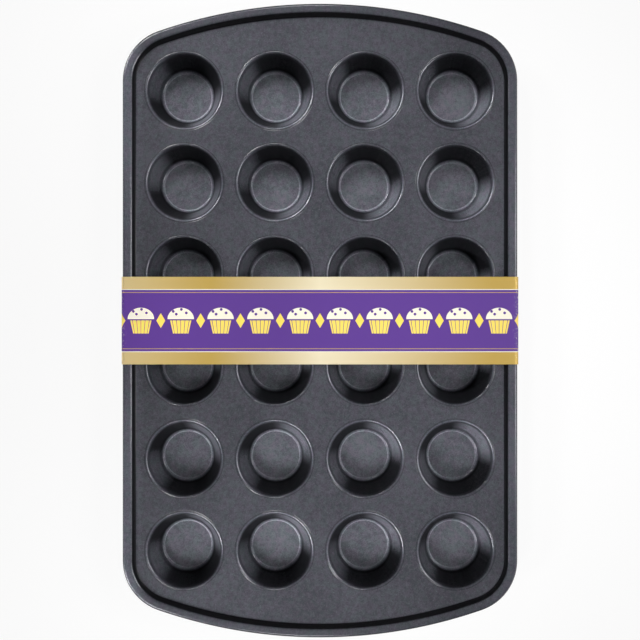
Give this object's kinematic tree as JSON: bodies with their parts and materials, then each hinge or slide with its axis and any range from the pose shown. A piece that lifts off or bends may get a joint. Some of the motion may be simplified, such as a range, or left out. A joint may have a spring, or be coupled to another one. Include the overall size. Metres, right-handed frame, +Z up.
{
  "type": "mini muffin pan",
  "caption": "Baking pan with bowed ends, a raised and rolled rim and rows of small tapered cups, wrapped by a card band that slides off.",
  "frame": {"origin": "middle of the surface that the part stands on, under the card band's underside", "axes": "+Y along the pan's length, +X across it, +Z up out of the cups' mouths"},
  "size_m": [0.259, 0.4138, 0.0248],
  "materials": {
    "coating": "satin",
    "wire": "satin",
    "card": "satin"
  },
  "bodies": {
    "pan": {"deck_and_rim": "coating", "rim_wire": "wire", "cup_row1_column1": "coating", "cup_row1_column2": "coating", "cup_row1_column3": "coating", "cup_row1_column4": "coating", "cup_row2_column1": "coating", "cup_row2_column2": "coating", "cup_row2_column3": "coating", "cup_row2_column4": "coating", "cup_row3_column1": "coating", "cup_row3_column2": "coating", "cup_row3_column3": "coating", "cup_row3_column4": "coating", "cup_row4_column1": "coating", "cup_row4_column2": "coating", "cup_row4_column3": "coating", "cup_row4_column4": "coating", "cup_row5_column1": "coating", "cup_row5_column2": "coating", "cup_row5_column3": "coating", "cup_row5_column4": "coating", "cup_row6_column1": "coating", "cup_row6_column2": "coating", "cup_row6_column3": "coating", "cup_row6_column4": "coating"},
    "band": {"card_band": "card"}
  },
  "joints": [
    {"name": "band_slide", "type": "slide", "parent": "pan", "child": "band", "axis": [0, 1, 0], "range_m": [-0.24, 0.24]}
  ]
}
